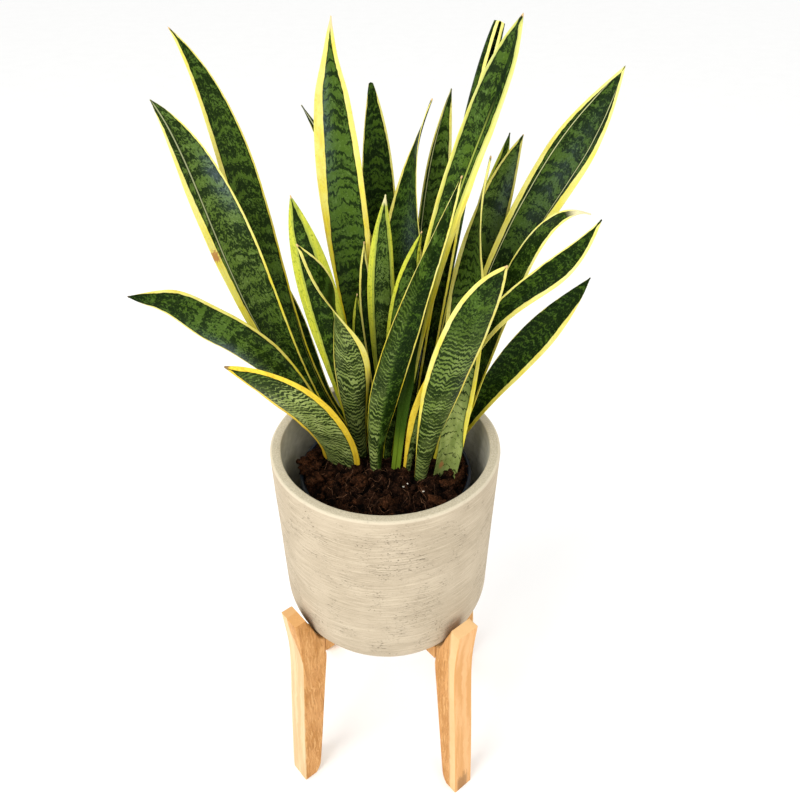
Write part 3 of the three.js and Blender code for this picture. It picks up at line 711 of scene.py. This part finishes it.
LEAVES = (
    leaf("01", (-48, 60), (-125, 76, 178), (-161, 94, 350), (-216, 112, 486), 44, -60,
        ((1.5, 6.5, 2.4), (1.5, 2, 1.2)), ((0.2, 0.1), (0.22, 0.26, 0.14)), stripes=((0.6, 1.4, 0.8),),
        band=13, dark=(0.58,), thread="#8d9440"),
    leaf("02", (-57, 47), (-133, 46, 170), (-178, 40, 327), (-223, 32, 437), 53, -60,
        ((6, 8.5, 1.5), (1.5, 2.5, 1)), ((0.2, 0.1), (0.1, 0.36, 0.3)), foot_share=0.34,
        stripes=((-0.8, -0.28, 1.3),), thread="#a9ae7e", band=12, yellow="bright", scar=(-23, 300, 8),
        closed=30, dry=0, bloom=(0.8, 0.72, 0.6, 0.08), dark=(0.62, 0.55, 0.55)),
    leaf("03", (-63, 29), (-116, 14, 124), (-178, -16, 209), (-256, -50, 266), 42, (70, 95, 110, 120),
        ((2, 3), (1, 2)), ((0.4, 0.3, 0.08), (0.16, 0.34, 0.14)), taper=2.8, band=14, dry=2, dried="#4a3c26",
        closed=30, arch=(9, 0.85), lined=False, dark=(0.62,), bloom=(1, 0.58, 0.6, 0.12)),
    leaf("04", (-60, 8), (-74, -14, 69), (-112, -30, 129), (-173, -38, 175), 60, (60, 70, 70, 70),
        ((7, 7, 5), (13, 8, 4)), ((0.62, 0.7, 0.3), (0.2, 0.1)), foot_share=1, hollow=(24, 18),
        yellow="gold", closed=0, chevron=0.1, skew=-0.45, dry=7, dried="#8a7048", dark=(0.55, 0.5, 0.62)),
    leaf("05", (-22, 55), (-32, 57, 211), (-47, 60, 378), (-47, 60, 506), 51, -90,
        ((2, 3, 10.5, 3), (4, 6, 6, 3)), ((0.2, 0.1), (0.08, 0.15, 0.17)), band=13, dark=(0.45, 0.42, 0.4),
        closed=0, dry=16, dried="#e2c48c", bloom=(-0.7, 0.75, 0.55, 0.14), rungs=0.16, acute=0.3),
    leaf("06", (-4, 66), (-16, 76, 160), (-36, 88, 295), (-86, 100, 413), 34, -90,
        ((1, 1.5, 1), (1, 1.5, 1)), ((0.2, 0.1), (0, 0)), dark=(0.75,), closed=60, dry=0, acute=0.2,
        stripes=((0.1, 0.1, 1),), thread="#c9c9a2"),
    leaf("07", (10, 74), (-2, 90, 165), (-6, 104, 312), (-13, 118, 431), 42, -90,
        ((1.5, 1), (1.5, 2)), ((0.2, 0.1), (0, 0, 0.07)), blunt=0.1, band=9, dry=0, dark=(0.6,),
        closed=25, taper=2.1, rungs=0.14),
    leaf("08", (-35, 38), (-57, 33, 134), (-78, 28, 251), (-94, 22, 345), 45, 90,
        ((12, 12, 8), (14, 12, 8)), ((0.12, 0.16, 0.2), (0.1, 0.1)), yellow="lime", melt=3,
        dark=(0.72, 0.66, 0.75), closed=0, lined=False),
    leaf("09", (-32, 20), (-38, 8, 118), (-50, -6, 218), (-87, -16, 309), 51, (90, 85, 20, -60),
        ((2, 7, 3), (1.5, 2.5, 2)), ((0.58, 0.55, 0.45), (0.15, 0.05)), chevron=-0.45,
        dark=(0.62, 0.55, 0.55)),
    leaf("10", (2, 35), (-3, 36, 149), (-3, 34, 254), (3, 32, 342), 32, 90,
        ((4, 5, 4), (7, 9, 5)), ((0.36, 0.38, 0.3), (0.1, 0.1)), yellow="lime", melt=3, dry=14,
        dried="#d8cf9a", closed=0, lined=False, dark=(0.55, 0.55, 0.5), rungs=0.07, band=18),
    leaf("11", (14, 52), (19, 62, 161), (25, 72, 306), (51, 80, 425), 50, (-90, -90, -130, -210),
        ((3, 4, 1.5), (1, 1.5, 0.6)), ((0.1, 0), (0.04, 0.06, 0.02)), taper=1.3, band=10,
        dark=(0.55, 0.5, 0.6), bloom=(0.4, 0.6, 0.3, 0.08)),
    leaf("12", (30, 66), (46, 84, 162), (57, 98, 309), (72, 110, 427), 36, -90,
        ((1, 1.5), (4, 4, 2.5)), ((0.2, 0.1), (0.24, 0.28, 0.24)), stripes=((-0.75, -0.7, 0.8),), band=13,
        dry=0, closed=30, dark=(0.42,), rungs=0.13),
    leaf("13", (13, -3), (44, 10, 224), (84, 22, 379), (130, 34, 513), 37, (-100, -120, -130, -130),
        ((0, 4, 2.5), (0, 9.5, 4)), ((0.2, 0.1), (0.15, 0.18, 0.12)), yellow="bright", melt=5, widest=0.72,
        foot_share=0.36, taper=3, plain=0.5, bare=0.1, stripes=((0.05, 0.4, 2),), thread="#98a545",
        thread_from=100, dark=(0.55,), band=11),
    leaf("14", (-12, -8), (4, -14, 141), (42, -18, 275), (77, -22, 382), 38, (90, 70, 35, 30),
        ((1.2, 1.5), (1, 2.5)), ((0.6, 0.36, 0.05), (0.3, 0.1)), widest=0.3, taper=2.6, chevron=-0.5,
        dark=(0.55, 0.66, 0.75), fold=(-1, 0.42)),
    leaf("15", (34, 42), (61, 56, 205), (87, 74, 374), (115, 90, 496), 54, -90,
        ((2, 3), (2, 3)), ((0.05, 0.02), (0.2, 0.25)), blunt=0.5, taper=4, hollow=(120, 165), dry=0,
        closed=0, yellow="bright", dark=(0.6,)),
    leaf("16", (58, 36), (124, 62, 213), (181, 84, 332), (248, 100, 452), 52, -110,
        ((3, 6, 2.5), (4, 9, 2.5)), ((0.2, 0.1), (0, 0.16, 0.13)), widest=0.74,
        stripes=((-0.62, -0.66, 0.9), (0.6, 0.62, 0.6)), band=16, rungs=0.12, dry=0, yellow="bright",
        closed=8, dark=(0.75, 0.55, 0.55), bloom=(0.1, 0.7, 0.2, 0.2)),
    leaf("17", (46, 53), (82, 74, 132), (115, 94, 269), (152, 110, 379), 48, -100,
        ((3, 4, 2), (3, 4, 2)), ((0.2, 0.1), (0.2, 0.34, 0.3)), band=14, dark=(0.34,),
        bloom=(0.5, 0.8, 0.45, 0.12), dry=2),
    leaf("18", (50, 70), (78, 92, 128), (112, 112, 260), (140, 132, 374), 36, -100,
        ((3, 3), (3, 3)), ((0.2, 0.1), (0.15, 0.15)), yellow="lime", melt=2, closed=30, dry=0),
    leaf("19", (73, -9), (87, 2, 144), (95, 12, 266), (108, 22, 386), 46, (-90, -90, -140, -200),
        ((2, 4), (6, 4)), ((0.5, 0.2), (1, 0.24, 0.2)), foot_share=0.78, band=10, dark=(0.02, 0.42, 0.5),
        lined=False, rungs=0.2, bare=0.03, scar=(-8, 13, 6), yellow="bright"),
    leaf("20", (79, 17), (117, 27, 140), (157, 32, 275), (220, 38, 317), 30, -140,
        ((0.8, 1.4), (2.5, 4, 1.5)), ((0.1, 0.1), (0.08, 0.14)), taper=1.4, yellow="bright", dry=30,
        dried="#e6dcae", dark=(0.65,)),
    leaf("21", (60, 14), (111, 14, 182), (168, 6, 254), (220, -6, 331), 29, -130,
        ((1.5, 2, 1), (4, 5, 2.5)), ((0.1, 0.1), (0.02, 0.04)), widest=0.72, band=10, dark=(0.62,), dry=0,
        closed=12, yellow="bright"),
    leaf("22", (84, 36), (134, 27, 111), (179, 12, 192), (219, -2, 264), 39, -120,
        ((0.2, 0.3), (4, 5)), ((0.1, 0.1), (0, 0)), band=9, dry=0, closed=70, dark=(0.8,), rungs=0.2),
    leaf("23", (44, -21), (61, -34, 113), (89, -46, 226), (122, -58, 306), 52, 100,
        ((1.5, 3.8, 3.4), (1, 5, 4)), ((0.56, 0.44, 0.02), (0.3, 0.1)), foot_share=0.36, taper=2.4,
        chevron=-0.2, dark=(0.6, 0.56, 0.6), closed=0),
    leaf("24", (27, -7), (38, -12, 67), (53, -17, 129), (68, -22, 186), 28, 110,
        ((1, 1), (7, 7)), ((0.6, 0.45), (0.2, 0.2)), band=9, lined=False, yellow="gold", dark=(0.42,)),
    leaf("25", (-8, 43), (-13, 45, 122), (-20, 46, 210), (-21, 46, 283), 18, -90,
        ((1, 2), (1, 2)), ((0.1, 0.1), (0, 0)), dark=(0.8,)),
    leaf("26", (-36, 76), (-81, 86, 54), (-103, 96, 127), (-122, 104, 207), 23, -70,
        ((0.5, 1), (0.5, 1)), ((0, 0), (0, 0)), dark=(0.75,)),
    leaf("27", (-19, 43), (-23, 44, 86), (-29, 46, 157), (-31, 48, 218), 20, 90,
        ((3, 3), (3, 3)), ((0.3, 0.2), (0.2, 0.2)), yellow="lime", lined=False),
    leaf("28", (2, 20), (13, 21, 128), (23, 22, 224), (41, 24, 305), 32, 90,
        ((3, 4), (3, 4)), ((0.35, 0.25), (0.2, 0.2)), yellow="lime", lined=False),
)


def smooth_share(value, low, high):
    share = min(1, max(0, (value - low) / (high - low)))
    return share * share * (3 - 2 * share)


def graded(figures, t):
    """Goes smoothly through figures that stand evenly spaced from foot to tip. Of two, the last starts
    halfway."""
    steps = [*figures, *[figures[-1]] * (3 - len(figures))]
    place = t * (len(steps) - 1)
    i = min(int(place), len(steps) - 2)
    return steps[i] + (steps[i + 1] - steps[i]) * smooth_share(place - i, 0, 1)


def bell(offset):
    """A soft hump: 1 in the middle and nearly 0 from an offset of 2 outwards."""
    return 2.718 ** -(offset ** 2)


def midrib(leaf, t):
    """The point and the direction of the midrib at a share of its length; it passes through its four
    points."""
    a, b, c, d = (Vector(leaf[key]) for key in ("foot", "low", "high", "tip"))
    b, c = (-5 * a + 18 * b - 9 * c + 2 * d) / 6, (2 * a - 9 * b + 18 * c - 5 * d) / 6
    s = 1 - t
    point = s ** 3 * a + 3 * s * s * t * b + 3 * s * t * t * c + t ** 3 * d
    heading = s * s * (b - a) + 2 * s * t * (c - b) + t * t * (d - c)
    return point, heading.normalized()


def half_width(leaf, t):
    """Half the blade's width: it grows from the foot to its widest place and runs out to the tip."""
    rise = sin(pi / 2 * min(1, t / leaf["widest"])) ** 1.5
    past = max(0, (t - leaf["widest"]) / (1 - leaf["widest"]))
    share = leaf["foot_share"] + (1 - leaf["foot_share"]) * rise
    share *= 1 - (1 - leaf["blunt"]) * past ** leaf["taper"]
    share *= 1 - leaf["acute"] * smooth_share(t, ACUTE_FROM, ACUTE_TO)
    return max(BLADE["tip_half_width"], leaf["width"] / 2 * share)


def look(leaf, t):
    """Which way the hollow side looks: smoothly through its four values."""
    foot, low, high, tip = leaf["looks"]
    twice = 9 * t * (t - 1) * (low * (3 * t - 2) - high * (3 * t - 1))
    twice += (3 * t - 1) * (3 * t - 2) * (tip * t - foot * (t - 1))
    return radians(twice / 2)


def blade_rows(leaf):
    """What a cross-section of the blade needs, row by row from under the soil to the tip."""
    rows, length, last = [], -BURIED, None
    foot_thick, tip_thick = BLADE["foot_thickness"], BLADE["tip_thickness"]
    for j in range(BLADE_ALONG + 1):
        share = j / BLADE_ALONG
        t = 0
        down = BURIED * (1 - share / BURIED_SHARE)
        if share > BURIED_SHARE:
            t = 1 - (1 - (share - BURIED_SHARE) / (1 - BURIED_SHARE)) ** TIP_CROWDING
            down = 0
        point, heading = midrib(leaf, t)
        raised, where = leaf["arch"]
        arch = raised * bell((t - where) / ARCH_REACH)
        centre = point - heading * down + Vector((0, 0, SOIL_TOP + arch))
        angle = look(leaf, t)
        inward = Vector((cos(angle), sin(angle), 0))
        inward = (inward - heading * inward.dot(heading)).normalized()
        if last is not None:
            length += (centre - last).length
        last = centre
        rows.append({
            "t": t, "centre": centre, "inward": inward, "sideways": heading.cross(inward), "length": length,
            "bend": radians(leaf["hollow"][1] + (leaf["hollow"][0] - leaf["hollow"][1]) * (1 - t) ** 2),
            "half": half_width(leaf, t),
            "thick": tip_thick + (foot_thick - tip_thick) * (1 - t) ** 2,
        })
    return rows


def blade_mesh(leaf):
    """A grid rolled round the blade's cross-section, welded along one margin, and closed at both ends. Each
    point keeps its place on the blade, which the finish reads."""
    bm = bmesh.new()
    bmesh.ops.create_grid(bm, x_segments=BLADE_AROUND, y_segments=BLADE_ALONG, size=0.5)
    layer_names = ("blade", "tone", "stripe", "bloom")
    blade_layer, tone_layer, stripe_layer, painted_sheen_layer = map(bm.verts.layers.float_vector.new, layer_names)
    rows = blade_rows(leaf)
    total = rows[-1]["length"]
    seed = leaf["number"] * 1.7
    bare, closed, tip_verts = leaf["bare"], leaf["closed"], []
    for vert in bm.verts:
        round_angle = 2 * pi * (vert.co.x + 0.5)
        j = round((vert.co.y + 0.5) * BLADE_ALONG)
        row = rows[j]
        t, bend, length = row["t"], row["bend"], row["length"]
        u = -cos(round_angle)
        inner = sin(round_angle)
        ripple = noise.noise(Vector((length * 0.021, seed, u))) * 1.5
        ripple += noise.noise(Vector((length * 0.06, seed + 9, u))) * 0.5
        half = row["half"] * (1 + 0.02 * noise.noise(Vector((length * 0.025, seed, 4 + u))))
        spread = abs(inner)
        at_margin = BLADE["margin_thickness"]
        skin = ((row["thick"] - at_margin) * spread ** 2 + at_margin * spread ** 0.5) / 2
        skin *= 1 if inner >= 0 else -1
        groove = 0.3 * (1 - t) ** 2 * row["thick"] * bell(u / GROOVE_WIDTH) if inner > 0 else 0
        radius = half / bend - skin + groove
        place = row["centre"] + row["sideways"] * (radius * sin(u * bend))
        raised = half / bend - radius * cos(u * bend) + ripple * u * u * smooth_share(t, 0, 0.3)
        place += row["inward"] * raised
        vert.co = place * MM
        begun = smooth_share(t, bare, bare + 0.15) if bare else 1
        left = smooth_share(total - length, closed * 0.2, closed) if closed else 1
        widest = half * (0.55 + 0.3 * smooth_share(t, 0.85, 1))
        widths = [min(graded(figures, t) * begun * left, widest) for figures in leaf["margins"]]
        green = min(half * (1 + u) - widths[0], half * (1 - u) - widths[1]) + 3 * (1 - begun)
        pale = leaf["pale"][0 if inner <= 0 else 1]
        plain = 1 - smooth_share(t, leaf["plain"] - 0.15, leaf["plain"] + 0.1) if leaf["plain"] else 0
        offsets = [half * (u - (at_foot + (at_tip - at_foot) * t)) for at_foot, at_tip, _ in leaf["stripes"]]
        vert[blade_layer] = (half * u, length, green)
        # Painted shade: the half of the blade that turns away from the light is made less pale, so it looks
        # darker.
        folded_side, shade = leaf["fold"]
        light = graded(pale, t) - shade * smooth_share(u * folded_side, 0, 0.4)
        vert[tone_layer] = (light, total - length, plain)
        vert[stripe_layer] = (*offsets, 0, 0, 0)[:3]
        # Painted reflection: a pale blue-grey sheen of light on the wax, laid on one side of the blade about
        # a place along it. Its attribute also carries how lined the face is and how much the dark marks
        # cover.
        side, where, strength, reach = leaf["bloom"]
        bloom = strength * bell((u - side) / PAINTED_SHEEN_WIDTH) * bell((t - where) / (reach or 1))
        lined = smooth_share(light, 0.2, 0.45) if leaf["lined"] and inner <= 0 else 0
        vert[painted_sheen_layer] = (bloom, lined, graded(leaf["dark"], t))
        if j == BLADE_ALONG:
            tip_verts.append(vert)
    tip_centre = sum((vert.co for vert in tip_verts), Vector()) / len(tip_verts)
    bmesh.ops.remove_doubles(bm, verts=bm.verts, dist=0.000002)
    top = max(vert[blade_layer].y for vert in bm.verts)
    tip_ring = [vert for vert in bm.verts if vert[blade_layer].y > top - 0.01]
    bmesh.ops.pointmerge(bm, verts=tip_ring, merge_co=tip_centre)
    bmesh.ops.holes_fill(bm, edges=[edge for edge in bm.edges if edge.is_boundary], sides=0)
    bmesh.ops.recalc_face_normals(bm, faces=bm.faces)
    return bm


def leaf_finish(leaf):
    """Waxy leaf skin. Sizes are in millimetres along and across the blade."""
    wax = Finish(leaf["name"], 0.36, 0.045)
    across, along, green = wax.attribute("blade")
    pale, to_tip, plain = wax.attribute("tone")
    bloom, lined, covered = wax.attribute("bloom")
    seed = leaf["number"] * 3.1

    def skin(width, length, shift, detail=2, rough=0.5, run=along):
        place = wax.join(wax.times(across, 1 / width), wax.times(run, 1 / length), seed + shift)
        return wax.cloud(place, detail, rough)

    off_rib = wax.math("ABSOLUTE", across)
    run = wax.plus(
        along, wax.times(off_rib, leaf["chevron"]), wax.times(across, leaf["skew"]),
        wax.stray(skin(3.2, 14, 0), 9), wax.stray(skin(9, 40, 7), 15), wax.stray(skin(60, 30, 61), 18),
    )
    cells = skin(0.9, 3.2, 17, 2, 0.6)
    band = skin(34, leaf["band"] * 0.8, 11, 1, 0.5, run)

    swing = wax.times(wax.math("PINGPONG", run, LINE_PERIOD / 2), 2 / LINE_PERIOD)
    share = wax.plus(wax.rise(band, 0.32, 0.68, -0.26, 0.26), wax.stray(skin(3.4, 3.4, 23), 0.7))
    share = wax.plus(share, wax.times(covered, 1.1))
    lines = wax.rise(swing, wax.plus(share, -0.09), wax.plus(share, 0.09), 1, 0)
    lines = wax.times(lines, wax.rise(skin(16, 24, 67), 0.34, 0.5, 0.8, 1))
    mottle = skin(2.5, 2.3, 29, 3, 0.7, run)
    flame = skin(2.4, 9, 33, 3, 0.6, run)
    rung = wax.times(wax.math("PINGPONG", run, leaf["band"] / 2), 2 / leaf["band"])
    mixed = wax.plus(wax.stray(mottle, 0.75), wax.stray(flame, 0.3), wax.stray(band, 0.5))
    mixed = wax.plus(mixed, wax.stray(wax.rise(rung, 0, 0.5), leaf["rungs"]), 0.5 - leaf["rungs"] / 4)
    limit = wax.plus(wax.times(covered, 0.3), 0.35)
    blotches = wax.rise(mixed, wax.plus(limit, -0.045), wax.plus(limit, 0.045), 1, 0)
    dark = wax.mix(lined, blotches, lines)
    ground = wax.mix(wax.rise(pale, 0, 0.3), "#2c4413", "#4d6726")
    ground = wax.mix(wax.rise(pale, 0.25, 0.75), ground, "#a0ad62")
    light = wax.mix(wax.rise(pale, 0.2, 0.7), "#6f8848", "#b3be84")
    flecks = wax.rise(skin(1.5, 2.4, 53, 3, 0.7), 0.52, 0.66)
    ground = wax.mix(wax.times(flecks, wax.rise(pale, 0, 0.3, 0.3, 0.6)), ground, light)
    olive = wax.rise(skin(9, 24, 31, 3), 0.35, 0.7, 0.45, 0)
    ground = wax.mix(olive, ground, "#465f10")
    deep = wax.mix(wax.rise(pale, 0, 0.25), "#081901", "#122206")
    deep = wax.mix(wax.times(flecks, 0.1), deep, light)
    middle = wax.mix(wax.times(dark, 0.94), ground, deep)

    yellow = YELLOWS[leaf["yellow"]]
    edge = wax.plus(green, wax.stray(skin(2.5, 12, 43, 3, 0.6), 2))
    streaks = skin(1.4, 40, 37, 3)
    patches = skin(7, 20, 71)
    margin = wax.mix(wax.rise(streaks, 0.4, 0.66), yellow["ground"], yellow["deep"])
    creamy = wax.plus(wax.rise(to_tip, 60, 300, 0.65, 0.1), wax.stray(streaks, 0.3))
    creamy = wax.plus(creamy, wax.stray(patches, 1.2), 0.05)
    margin = wax.mix(creamy, margin, yellow["light"])
    spots = wax.rise(skin(2.4, 3.4, 41, 3, 0.65), 0.53, 0.66)
    margin = wax.mix(wax.times(spots, yellow["spots"]), margin, yellow["deep"])
    if leaf["melt"]:
        margin = wax.mix(wax.rise(edge, -leaf["melt"], -0.5, 0, 0.6), margin, "#87984a")
    for i, (_, _, wide) in enumerate(leaf["stripes"]):
        offset = wax.math("ABSOLUTE", wax.plus(wax.attribute("stripe")[i], wax.stray(streaks, 0.5)))
        line = wax.rise(offset, wide / 2 + 0.5, wide / 2 + 1.5, 0.8, 0)
        middle = wax.mix(line, middle, "#0c1d08")
        thread = wax.rise(offset, wide / 2 - 0.3, wide / 2 + 0.3, 0.8, 0)
        if leaf["thread_from"]:
            thread = wax.times(thread, wax.rise(to_tip, leaf["thread_from"] * 0.7, leaf["thread_from"] * 1.3))
        middle = wax.mix(thread, middle, leaf["thread"])
    middle = wax.mix(wax.rise(edge, 0.2, 2.2, 0.7, 0), middle, "#0c1f05")
    if leaf["plain"]:
        stalk = wax.mix(wax.rise(along, 20, 70), "#6c8424", "#354f12")
        stalk = wax.mix(wax.rise(along, 70, 170), stalk, "#22390c")
        stalk = wax.mix(wax.times(flecks, 0.15), stalk, "#788f3c")
        middle = wax.mix(plain, middle, stalk)
    # Painted reflection: the sheen of light on the wax, mixed into the colour as pale blue-grey.
    if leaf["bloom"][2]:
        middle = wax.mix(wax.times(bloom, wax.rise(mottle, 0.2, 0.8)), middle, "#6f8088")
    colour = wax.mix(wax.rise(edge, -0.3, 0.3), margin, middle)
    if leaf["dry"]:
        dried = wax.rise(wax.plus(to_tip, wax.stray(cells, 6)), leaf["dry"] * 0.5, leaf["dry"], 1, 0)
        colour = wax.mix(dried, colour, leaf["dried"])
    if leaf["scar"]:
        scar_across, scar_along, size = leaf["scar"]
        aside = wax.times(wax.plus(across, -scar_across), 1.6 / size)
        beyond = wax.times(wax.plus(along, -scar_along), 1 / size)
        reach = wax.math("SQRT", wax.plus(wax.times(aside, aside), wax.times(beyond, beyond)))
        scarred = wax.rise(wax.plus(reach, wax.stray(mottle, 2.4)), 0.5, 1.1, 0.85, 0)
        colour = wax.mix(scarred, colour, "#b5764a")
    wax.give("Base Color", colour)
    wax.give("Roughness", wax.rise(cells, 0.3, 0.7, 0.3, 0.42))
    height = wax.plus(wax.times(cells, 0.5), wax.times(skin(0.7, 50, 47), 0.6))
    wax.relief(height, 0.16)
    return wax


for plan in LEAVES:
    blade = show(plan["name"].replace("leaf", "blade"), blade_mesh(plan), leaf_finish(plan))
    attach(blade, "root")
    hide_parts(plan["name"])
